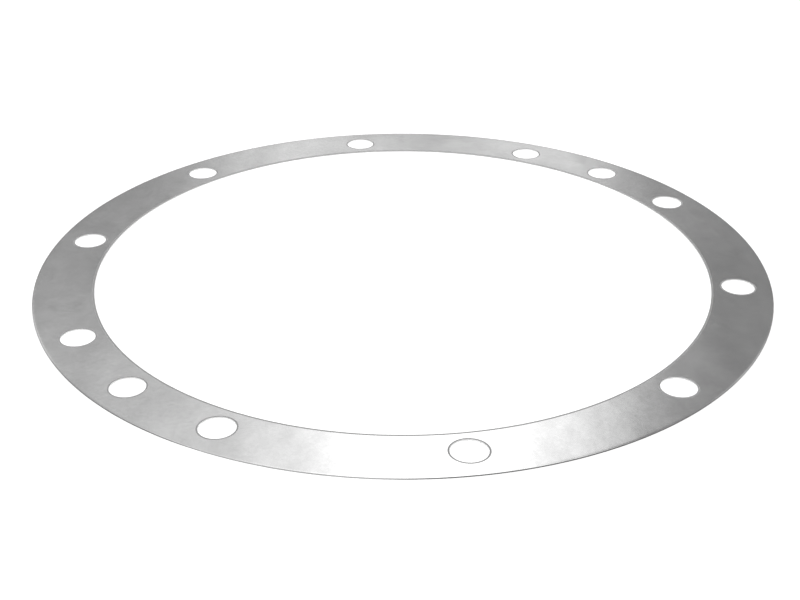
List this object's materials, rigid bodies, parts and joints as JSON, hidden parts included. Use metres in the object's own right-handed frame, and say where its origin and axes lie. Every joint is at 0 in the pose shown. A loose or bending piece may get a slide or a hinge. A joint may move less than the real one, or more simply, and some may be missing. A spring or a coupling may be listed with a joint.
{
  "type": "ring shim",
  "caption": "Thin flat ring shim with a wide bore and round bolt holes spaced round its pitch circle.",
  "frame": {"origin": "centre of the ring on its lower face", "axes": "+Z along the bore's axis, up through the sheet; +X through a bolt hole; +Y through an extra hole"},
  "size_m": [0.3, 0.3, 0.0005],
  "materials": {
    "bright_steel": "satin, fine rolling grain"
  },
  "bodies": {
    "root": {"shim_ring": "bright_steel"}
  },
  "joints": []
}
